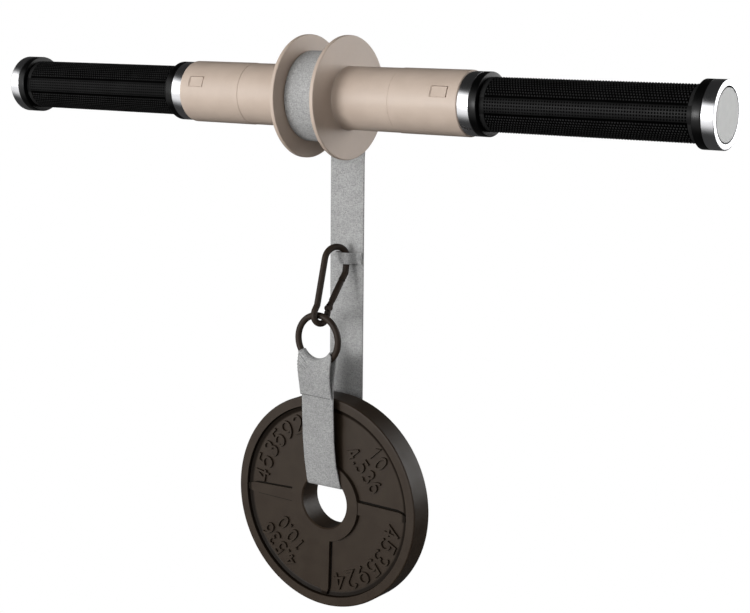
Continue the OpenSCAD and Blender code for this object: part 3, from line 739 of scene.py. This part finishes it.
# How far the flap stands forward; where that sets in and where it eases: (distance above the wire, run)
FLAP_LIFT = 0.9
FLAP_LIFT_RIGHT = 0.7
CURL_RUN = (6, 14)
EASE = 0.45
EASE_RUN = (-14, 18)
# Sideways bow of the front strap, by height
BOW_Z = (-362, -340, -318, -276, -250, -236)
BOW_X = (0.8, -2.2, -3.6, -3.7, -2.2, -0.8)
# Diagonal ridges left of the fold: height, pitch, slope, and where they set in: (place, run)
RIDGE_H = 0.42
RIDGE_PITCH = 2.4
RIDGE_SLOPE = (0.62, 0.78)
RIDGE_LEFT = (-2, 7)
RIDGE_DOWN = (9, 5)
# Faint creases across the flap: distance below the wire, slant, height, width
FLAP_CREASES = ((9.5, 0.04, 0.16, 0.9), (13, -0.03, 0.12, 0.8))
# The strap's points across, their angle round the ring and the height of the ring's wire there
ROW = ACROSS[None]
PHI = np.arcsin(ACROSS / RING_R)[None]
WIRE_Z = RING_C[2] - RING_R * np.cos(PHI)


def bow(z):
    """Sideways bow of the front strap at height z."""
    return np.interp(z, BOW_Z, BOW_X)


def stand_off(x, z):
    """How far the front run's right side stands off the plate: nothing at the bore and at the ring."""
    rise = smooth((z - FRONT_CUT) / LIFT_FOOT) * smooth((WIRE_LOW - z) / LIFT_HEAD)
    return FRONT_LIFT * smooth((x + HALF_W) / (2 * HALF_W)) * rise


def curl(x, z):
    """How far the flap stands forward, more at its right side: nothing at the fold, half at the hem."""
    down, ease = (smooth((WIRE_LOW + above - z) / run) for above, run in (CURL_RUN, EASE_RUN))
    return (FLAP_LIFT + FLAP_LIFT_RIGHT * smooth(x / HALF_W)) * down * (1 - EASE * ease)


def wrinkle(x, z):
    """Small diagonal ridges left of the fold, and two faint creases across below it."""
    along = RIDGE_SLOPE[0] * (x + HALF_W) + RIDGE_SLOPE[1] * (z - WIRE_LOW)
    ridge = RIDGE_H * np.sin(TAU * along / RIDGE_PITCH)
    left = smooth((RIDGE_LEFT[0] - x) / RIDGE_LEFT[1])
    near = left * smooth((z - WIRE_LOW + RIDGE_DOWN[0]) / RIDGE_DOWN[1])
    creases = sum(height * np.exp(-((z - WIRE_LOW + below + slant * x) / width) ** 2)
                  for below, slant, height, width in FLAP_CREASES)
    return ridge * near + creases


def lean(z, top_y, foot_y, foot_z):
    """Y of a straight lean from (foot_y, foot_z) to top_y at the ring's lowest point, upright above it."""
    y = foot_y + (top_y - foot_y) * (z - foot_z) / (WIRE_LOW - foot_z)
    return np.where(z > WIRE_LOW, top_y, y)


def bend(middle_y, start):
    """Quarter turn of radius BEND about (middle_y, BORE_Z + BEND), from the angle start, in degrees, down."""
    a = np.radians(np.linspace(start, start - 90, 9))
    return np.stack([middle_y + BEND * np.cos(a), BORE_Z + BEND + BEND * np.sin(a)], 1)


def back_run():
    """Mid-surface down behind the plate and through its bore, to the foot of the front run."""
    behind = s_curve(HANG_Y, LEAN_TOP, BACK_Y, BORE_Z + BEND + BEND_LEAD)
    path = [[[HANG_Y, SPLIT_Z]], behind, bend(BACK_Y - BEND, 0), bend(FRONT_Y + BEND, -90)]
    path = resample(np.concatenate(path), BACK_STEP)
    return path_cloth(path, x_shift=np.interp(path[:, 0], [FRONT_Y, BACK_Y], [BORE_SHIFT, 0.0]))


def rising_run():
    """Mid-surface up the front to the ring's wire: its last row follows the round wire."""
    z = FRONT_CUT + (WIRE_Z - FRONT_CUT) * np.linspace(0, 1, 80)[1:, None]
    y = lean(z, WRAP_BACK, FRONT_Y, FRONT_CUT) - stand_off(ROW, z)
    return np.stack([ROW + bow(z), y, z], 2)


def ring_fold():
    """Mid-surface of the fold: half a circle of radius WRAP_R about the wire, at each point across."""
    t = np.radians(np.linspace(0, 180, 19))[1:-1, None]
    r = RING_R - WRAP_R * np.sin(t)
    x = r * np.sin(PHI) + bow(BOW_Z[-1])
    return np.stack([x, RING_C[1] + WRAP_R * np.cos(t) + 0 * PHI, RING_C[2] - r * np.cos(PHI)], 2)


def hanging_flap():
    """Mid-surface of the flap, from the wire down to the hem in front of the rising run."""
    z = WIRE_Z + (HEM_Z - WIRE_Z) * np.linspace(0, 1, 60)[:, None]
    hem_y = lean(HEM_Z, WRAP_BACK, FRONT_Y, FRONT_CUT) - STRAP_T - FLAP_GAP
    y = lean(z, WRAP_FRONT, hem_y, HEM_Z) - curl(ROW, z) - stand_off(ROW, z) - wrinkle(ROW, z)
    return np.stack([ROW + bow(z), y, z], 2)


flap = hanging_flap()
load_run = np.concatenate([back_run(), rising_run(), ring_fold(), flap])
add_cloth("strap_loop", load_run, "load", "strap_back_run", "strap_bore_run", "strap_front_run")

# Band: plan of its loop at its middle height, and how far it leans at its upper edge
FACE_Y = HANG_Y - STRAP_T / 2
SEW_GAP = 0.05
SEWN_X = (18.4, 14.2, 13.4)
LOOP_LEFT = (-3.0, -2.1)
LOOP_FRONT = (17.6, -0.9)
LOOP_TURN = (2.6, 0.3)
LOOP_BACK = 26.55
LOOP_ROUND = 0.8
LOOP_ENTRY = (1.5, 0.15)
BAND_INSET = 0.5
TO_WIRE = [[12.9, 27.4], [11.4, 24.0], [10.2, 20.4], [9.0, 18.6], [7.2, 18.0]]
FROM_WIRE = [[8.6, 26.8], [11.6, 28.6]]
BAND_POINTS = 64


def band_path(h):
    """Plan path of the band at height h above its middle.

    Two sewn layers on the strap's face, then forward past the wire, across in front of it parallel to the
    strap, and round its left side; the loop reaches further left and forward towards its top.
    """
    k = h / BAND_HALF_H
    left, front, turn = (middle + change * k for middle, change in (LOOP_LEFT, LOOP_FRONT, LOOP_TURN))
    inner_y = FACE_Y - SEW_GAP - BAND_T / 2
    outer_y = inner_y - BAND_T
    a = np.radians(np.linspace(270, 90, 22))
    spread = (LOOP_BACK - front) / 2
    nose_x = left + turn - turn * abs(np.cos(a)) ** LOOP_ROUND
    nose = np.stack([nose_x, front + spread + spread * np.sin(a)], 1)
    entry = [left + turn + LOOP_ENTRY[0], front + LOOP_ENTRY[1]]
    knots = [[SEWN_X[0], outer_y], [SEWN_X[1], outer_y]] + TO_WIRE + [entry]
    rear = FROM_WIRE + [[SEWN_X[2], inner_y], [SEWN_X[0], inner_y]]
    path = np.concatenate([knots, nose, rear])
    for _ in range(3):
        path = np.concatenate([path[:1], (path[:-2] + 2 * path[1:-1] + path[2:]) / 4, path[-1:]])
        path = resample_count(path, BAND_POINTS)
    return path[::-1]


def band_loop():
    """Mid-surface of the band from the strap's right edge round the hook's wire and back."""
    h = np.linspace(-BAND_HALF_H + BAND_INSET, BAND_HALF_H - BAND_INSET, 11)
    plan = np.stack([band_path(k) for k in h], 1)
    return np.concatenate([plan, np.broadcast_to((BAND_Z + h)[None, :, None], plan.shape[:2] + (1,))], 2)


add_cloth("band_loop", band_loop(), "load", "webbing_band", thick=BAND_T - SEW_GAP)


# Raised figures: digits as strokes in a cell one unit high
def arc(cx, cy, rx, ry, a0, a1, n=14):
    """Points of an ellipse's arc between two angles in degrees."""
    a = np.radians(np.linspace(a0, a1, n))
    return np.stack([cx + rx * np.cos(a), cy + ry * np.sin(a)], 1)


def poly(*points):
    """Points of a polyline."""
    return np.array(points, float)


GLYPH_W = 0.7
DOT_W = 0.2
MITRE_LEAST = 0.42
GLYPHS = {
    "0": [(arc(0.35, 0.5, 0.33, 0.5, 90, 450, 29)[:-1], True)],
    "1": [(poly((0.16, 0.78), (0.38, 1.0), (0.38, 0.0)), False)],
    "2": [(np.concatenate([arc(0.35, 0.70, 0.31, 0.30, 160, -38), poly((0.04, 0.0), (0.68, 0.0))]), False)],
    "3": [(arc(0.33, 0.735, 0.28, 0.265, 150, -90), False), (arc(0.33, 0.26, 0.32, 0.26, 90, -150), False)],
    "4": [(poly((0.50, 0.0), (0.50, 1.0)), False), (poly((0.50, 1.0), (0.02, 0.30), (0.70, 0.30)), False)],
    "5": [(np.concatenate([poly((0.62, 1.0), (0.14, 1.0)), arc(0.33, 0.32, 0.33, 0.32, 138, -145)]), False)],
    "6": [(arc(0.35, 0.31, 0.33, 0.31, 0, 360, 25)[:-1], True),
          (arc(0.72, 0.31, 0.70, 0.69, 105, 180), False)],
    "9": [(arc(0.35, 0.69, 0.33, 0.31, 0, 360, 25)[:-1], True),
          (arc(-0.02, 0.69, 0.70, 0.69, -75, 0), False)],
    ".": [(poly((0.10, 0.0), (0.10, 0.17)), False)],
}


def mitre_normals(pts, closed):
    """Sideways vectors of a polyline whose lengths keep a ribbon's width through its corners."""
    after = np.roll(pts, -1, 0) - pts
    before = pts - np.roll(pts, 1, 0)
    if not closed:
        after[-1] = before[-1]
        before[0] = after[0]
    after = after / np.linalg.norm(after, axis=1, keepdims=True)
    before = before / np.linalg.norm(before, axis=1, keepdims=True)
    n = np.stack([-(after + before)[:, 1], (after + before)[:, 0]], 1)
    n /= np.linalg.norm(n, axis=1, keepdims=True)
    side = np.stack([-after[:, 1], after[:, 0]], 1)
    return n / np.clip((n * side).sum(1), MITRE_LEAST, 1)[:, None]


def stroke(pts, closed, width, base, top, taper, place):
    """Ribbon of trapezoid section along pts: width at the base, width less twice the taper on top."""
    n = mitre_normals(pts, closed)
    half = width / 2
    ring = [(-half, base), (-half + taper, top), (half - taper, top), (half, base)]
    flat = np.stack([np.concatenate([pts + n * o, np.full((len(pts), 1), h)], 1) for o, h in ring], 1)
    verts, faces, _ = grid(place(flat), wrap_u=closed, wrap_v=True, flip=True, caps=not closed)
    return verts, faces


FIELD_TOP = PLATE_HALF - FIELD_DEPTH
RELIEF = 2.0
RELIEF_STEP = 0.03
RELIEF_SINK = 0.6
RELIEF_W = 2.6
RELIEF_TAPER = 0.35


def cell_width(char, height, wide):
    """Width of a digit's cell."""
    return (DOT_W if char == "." else GLYPH_W * wide) * height


def glyph(char, height, wide, place):
    """Strokes of one digit, its cell's lower left corner at the origin of place's own plane."""
    unit_w = DOT_W if char == "." else GLYPH_W
    scale = np.array([(cell_width(char, height, wide) - RELIEF_W) / unit_w, height - RELIEF_W])
    return [stroke(pts * scale + RELIEF_W / 2, closed, RELIEF_W, -RELIEF_SINK, RELIEF + RELIEF_STEP * k,
                   RELIEF_TAPER, place)
            for k, (pts, closed) in enumerate(GLYPHS[char])]


def on_plate(centre, turn, face):
    """Places flat points (x, y, height) on a face of the plate, turned and moved; face is 1 or -1."""
    def place(flat):
        """The points in the world."""
        c, s = math.cos(turn), math.sin(turn)
        x = centre[0] + flat[..., 0] * c - flat[..., 1] * s
        z = centre[1] + flat[..., 0] * s + flat[..., 1] * c
        y = FIELD_TOP + flat[..., 2]
        return np.stack([PLATE_C[0] + face * x, PLATE_C[1] - face * y, PLATE_C[2] + z], -1)
    return place


def polar(radius, angle):
    """Point at a radius and an angle in radians."""
    return radius * np.array([math.cos(angle), math.sin(angle)])


def plate_row(word, radius, angle, height, wide, gap, face):
    """A straight row of raised digits about the point at radius and angle, tops outward."""
    turn = angle - math.pi / 2
    middle, along, up = polar(radius, angle), polar(1, turn), polar(1, angle)
    parts = []
    left = -(sum(cell_width(c, height, wide) + gap for c in word) - gap) / 2
    for c in word:
        at = middle + along * left - up * height / 2
        parts += glyph(c, height, wide, on_plate(at, turn, face))
        left += cell_width(c, height, wide) + gap
    return parts


# Figures along the circle: their angles and sizes; figures in two straight rows: angle, outer and inner word
ARC_WORD = "4535924"
ARC_MIDDLES = (137, -45)
ARC_R = 77
ARC_STEP = 10.9
ARC_HEIGHT = 18.5
ROW_WORDS = ((41, "10", "4.536"), (-136, "4.536", "10.0"))
ROW_RADII = (77.5, 57.5)
ROW_HEIGHT = 17
ROW_WIDE = 0.84
ROW_GAP = 1.0


def plate_figures():
    """Raised digits on both faces of the plate."""
    parts = []
    for face in (1, -1):
        for middle in ARC_MIDDLES:
            for k, c in enumerate(ARC_WORD):
                a = math.radians(middle - (k - (len(ARC_WORD) - 1) / 2) * ARC_STEP)
                parts += plate_row(c, ARC_R, a, ARC_HEIGHT, 1.0, 0, face)
        for angle, *words in ROW_WORDS:
            for word, radius in zip(words, ROW_RADII):
                parts += plate_row(word, radius, math.radians(angle), ROW_HEIGHT, ROW_WIDE, ROW_GAP, face)
    return join(parts)


add_piece("plate_figures", *plate_figures(), "plate_iron", "plate", sharp=35)

# Painted shadows along the ribs: a rib's outline as (distance out, half width), and the dark strips' widths
# on its two sides
RIB_OUTLINE = ((37.0, 5.9), (80.6, 4.7), (87.7, 3.0))
RIB_TIP = (88.0, 1.2)
SHADOW_WIDTHS = ((1, 1.9), (-1, 1.1))
SHADOW_LAP = 0.15
SHADOW_SINK = 0.6
SHADOW_H = 0.12
SHADOW_TAPER = 0.1


def rib_painted_shadows():
    """Narrow dark strips in the corner between each rib's sides and the field, as low ribbons round it:
    painted shadow.
    """
    parts = []
    for face in (1, -1):
        for angle in (0, 90, 180, 270):
            for side, width in SHADOW_WIDTHS:
                off = width / 2 - SHADOW_LAP
                pts = np.array([(out, side * (half + off)) for out, half in RIB_OUTLINE]
                               + [(RIB_TIP[0], side * RIB_TIP[1])])
                place = on_plate(np.zeros(2), math.radians(angle), face)
                parts.append(stroke(pts, False, width, -SHADOW_SINK, SHADOW_H, SHADOW_TAPER, place))
    return join(parts)


add_piece("rib_painted_shadows", *rib_painted_shadows(), "plate_iron", "plate", sharp=40, mat=RIB_SHADE_MAT)

# Stitches: short raised threads. A thread's bow, and its radius at the ends, are shares of its full radius
OUT = np.array([0, -1.0, 0])
THREAD_BOW = 0.9
THREAD_END = 0.45
STITCH_X = (11.9, 18.3)
STITCH_STEP = 1.15
STITCH_END = 0.9
STITCH_R = 0.30
# The hem's dark threads are stitching and a painted shadow line along the flap's edge
HEM_EVERY = 3
HEM_OFF = (0, -STRAP_T / 2 - 0.06, 0.25)
HEM_R = 0.34


def thread(a, b, radius):
    """One stitch from a to b that bulges out by about its radius: a circle carried along a bowed line."""
    t = np.linspace(0, 1, 7)
    rise = np.sin(math.pi * t)
    mid = a + (b - a) * t[:, None] + OUT * (THREAD_BOW * radius * rise)[:, None]
    side = np.cross((b - a) / np.linalg.norm(b - a), OUT)
    q = np.linspace(0, TAU, 6, endpoint=False)[None, :, None]
    swell = radius * (THREAD_END + (1 - THREAD_END) * rise)
    P = mid[:, None] + swell[:, None, None] * (np.cos(q) * side + np.sin(q) * OUT)
    verts, faces, _ = grid(P, wrap_v=True, caps=True)
    return verts, faces


def band_stitches():
    """Upright threads side by side through the band's sewn end."""
    y = FACE_Y - 2 * BAND_T
    top, low = BAND_Z + BAND_HALF_H - STITCH_END, BAND_Z - BAND_HALF_H + STITCH_END
    return join([thread(np.array([x, y, top]), np.array([x, y, low]), STITCH_R)
                 for x in np.arange(*STITCH_X, STITCH_STEP)])


def hem_stitch_shadow():
    """Dark threads end to end along the flap's lower edge: stitching, and a painted shadow line under it."""
    pts = flap[-1, 1:-1:HEM_EVERY] + HEM_OFF
    return join([thread(a, b, HEM_R) for a, b in zip(pts[:-1], pts[1:])])


add_piece("band_stitches", *band_stitches(), "webbing", "load", sharp=60)
add_piece("hem_stitch_shadow", *hem_stitch_shadow(), "webbing", "load", sharp=60, mat=HEM_THREAD_SHADE)

# Lips of the latch windows: their extent along the bar and across, and the slopes' runs
WINDOW_X = 133.9
WINDOW_ANGLE = math.radians(21.8)
WINDOW_LEFT = -8.7
WINDOW_RIGHT = 8.6
WINDOW_HALF = 5.1
BUTTON_SINK = 1.1
LIP_LOW = SLEEVE_R - BUTTON_SINK + 0.06
LIP_TOP_GAP = 0.04
LIP_RUN = 1.0
LIP_RISE = 0.7


def window_lip(name, side):
    """Slopes from the sleeve's surface down to the latch button along the window's left and lower edges.

    Each is a triangle carried along the edge: its upper corner follows the sleeve's round surface.
    """
    out = np.array([0, -math.cos(WINDOW_ANGLE), math.sin(WINDOW_ANGLE)])
    up = np.array([0, math.sin(WINDOW_ANGLE), math.cos(WINDOW_ANGLE)])

    def place(x, y, r):
        """World point at x along the bar, y up the window and r out from the axis."""
        return np.array([x + side * WINDOW_X, 0, 0]) + up * y + out * r

    def surface(y):
        """Height of the sleeve's surface at y."""
        return math.sqrt(SLEEVE_R ** 2 - y ** 2) - LIP_TOP_GAP

    half = WINDOW_HALF
    left = [[place(WINDOW_LEFT, y, LIP_LOW), place(WINDOW_LEFT, y, surface(y)),
             place(WINDOW_LEFT + LIP_RUN, y, LIP_LOW)] for y in np.linspace(-half, half, 9)]
    lower = [[place(x, -half, LIP_LOW), place(x, -half + LIP_RISE, LIP_LOW), place(x, -half, surface(half))]
             for x in np.linspace(WINDOW_LEFT, WINDOW_RIGHT, 3)]
    parts = [grid(np.array(P), wrap_v=True, flip=True, caps=True)[:2] for P in (left, lower)]
    add_piece(name, *join(parts), "tan_plastic", "roller", sharp=30)


window_lip("window_lip_right", 1)
window_lip("window_lip_left", -1)

# Studio
FLOOR_HALF = 6.0
FLOOR_Z = -0.78
FLOOR_GREY = 0.15
# What the chrome mirrors of the floor, by Y in metres: dark under the bar, bright in front of it
FLOOR_GLOSS = (-0.36, -1.35, 0.06, 1.2)
# Light panels round the horizon: direction and half widths, outer and full, in degrees, and strength
PANELS = ((245, 56, 30, 2.35), (55, 38, 16, 3.5), (325, 50, 20, 0.6))
# The panels' lower and upper edges and the dim rest, by the direction's Z
BELT_LOW = (-0.42, -0.18)
BELT_HIGH = (0.66, 0.34)
DIM_REST = (-0.1, 0.8, 0.06, 0.03)
KEY_AT = (-1.24, -3.8, 0.06)
KEY_AIM = (0, 0, -0.2)
KEY_SIZE = 1.2
KEY_POWER = 80


def glow(tree, kind, strength):
    """White light from an Emission or a Background node."""
    n = tree.nodes.new("ShaderNode" + kind)
    n.inputs["Color"].default_value = (1, 1, 1, 1)
    put(tree, n.inputs["Strength"], strength)
    return n.outputs[0]


def by_ray(tree, ray, rest, seen):
    """Mix of two shaders: seen by one kind of ray, and rest by the others."""
    n = tree.nodes.new("ShaderNodeMixShader")
    put(tree, n.inputs[0], tree.nodes.new("ShaderNodeLightPath").outputs[ray])
    put(tree, n.inputs[1], rest)
    put(tree, n.inputs[2], seen)
    return n.outputs[0]


def make_floor():
    """Plain floor, white to the camera."""
    f = FLOOR_HALF
    mesh = bpy.data.meshes.new("floor")
    mesh.from_pydata([(-f, -f, 0), (f, -f, 0), (f, f, 0), (-f, f, 0)], [], [(0, 1, 2, 3)])
    floor = bpy.data.objects.new("floor", mesh)
    floor.location = (0, 0, FLOOR_Z)
    bpy.context.scene.collection.objects.link(floor)
    m, t, s = material("floor_pale", 0.0, 0.7, Base_Color=(FLOOR_GREY, FLOOR_GREY, FLOOR_GREY, 1.0))
    mirrored = ramp(t, separate(t, object_coords(t))[1], *FLOOR_GLOSS)
    surface = by_ray(t, "Is Glossy Ray", s.outputs[0], glow(t, "Emission", mirrored))
    surface = by_ray(t, "Is Camera Ray", surface, glow(t, "Emission", 1.0))
    put(t, t.nodes["Material Output"].inputs["Surface"], surface)
    mesh.materials.append(m)


def panel(tree, level, towards, wide, full, strength):
    """Soft panel of light round the horizon about a direction."""
    a = math.radians(towards)
    facing = vector_calc(tree, "DOT_PRODUCT", level, (math.cos(a), math.sin(a), 0))["Value"]
    edge = ramp(tree, facing, math.cos(math.radians(wide)), math.cos(math.radians(full)))
    return calc(tree, "MULTIPLY", edge, strength)


def make_world():
    """Studio round the object: a belt of soft panels on a dim rest, white to the camera."""
    world = bpy.data.worlds.new("studio")
    bpy.context.scene.world = world
    world.use_nodes = True
    t = world.node_tree
    t.nodes.clear()
    x, y, z = separate(t, t.nodes.new("ShaderNodeTexCoord").outputs["Generated"])
    flat = t.nodes.new("ShaderNodeCombineXYZ")
    put(t, flat.inputs[0], x)
    put(t, flat.inputs[1], y)
    level = vector_calc(t, "NORMALIZE", flat.outputs[0])[0]
    light = panel(t, level, *PANELS[0])
    for other in PANELS[1:]:
        light = calc(t, "ADD", light, panel(t, level, *other))
    belt = calc(t, "MULTIPLY", ramp(t, z, *BELT_LOW), ramp(t, z, *BELT_HIGH))
    strength = calc(t, "ADD", calc(t, "MULTIPLY", belt, light), ramp(t, z, *DIM_REST))
    surface = by_ray(t, "Is Camera Ray", glow(t, "Background", strength), glow(t, "Background", 1.0))
    put(t, t.nodes.new("ShaderNodeOutputWorld").inputs["Surface"], surface)


def make_key():
    """Square area light, turned towards the object."""
    light = bpy.data.lights.new("key", "AREA")
    light.shape = "SQUARE"
    light.size = KEY_SIZE
    light.energy = KEY_POWER
    key = bpy.data.objects.new("key", light)
    key.location = KEY_AT
    key.rotation_mode = "QUATERNION"
    key.rotation_quaternion = (Vector(KEY_AIM) - Vector(KEY_AT)).to_track_quat("-Z", "Y")
    bpy.context.scene.collection.objects.link(key)


# Camera, fitted to the photograph
PHOTO_W = 750
SENSOR_W = 36.0
FOCAL_PX = 1620.95
YAW, PITCH, ROLL = (math.radians(a) for a in (34.61, 10.20, 0.58))
CAMERA_AT = Vector((0.87082, -1.18445, 0.07324))


def make_camera():
    """Camera at CAMERA_AT, turned by yaw and pitch and then rolled about its view."""
    ahead = Vector((-math.sin(YAW) * math.cos(PITCH), math.cos(YAW) * math.cos(PITCH), -math.sin(PITCH)))
    level = Vector((math.cos(YAW), math.sin(YAW), 0))
    upright = level.cross(ahead)
    right = math.cos(ROLL) * level + math.sin(ROLL) * upright
    up = -math.sin(ROLL) * level + math.cos(ROLL) * upright
    lens = bpy.data.cameras.new("camera")
    lens.sensor_width = SENSOR_W
    lens.lens = FOCAL_PX * SENSOR_W / PHOTO_W
    lens.clip_start, lens.clip_end = 0.05, 50
    camera = bpy.data.objects.new("camera", lens)
    axes = zip(right, up, -ahead, CAMERA_AT)
    camera.matrix_world = Matrix([*axes, (0, 0, 0, 1)])
    bpy.context.scene.collection.objects.link(camera)
    bpy.context.scene.camera = camera


make_floor()
make_world()
make_key()
make_camera()
bpy.context.scene.view_settings.view_transform = "Standard"
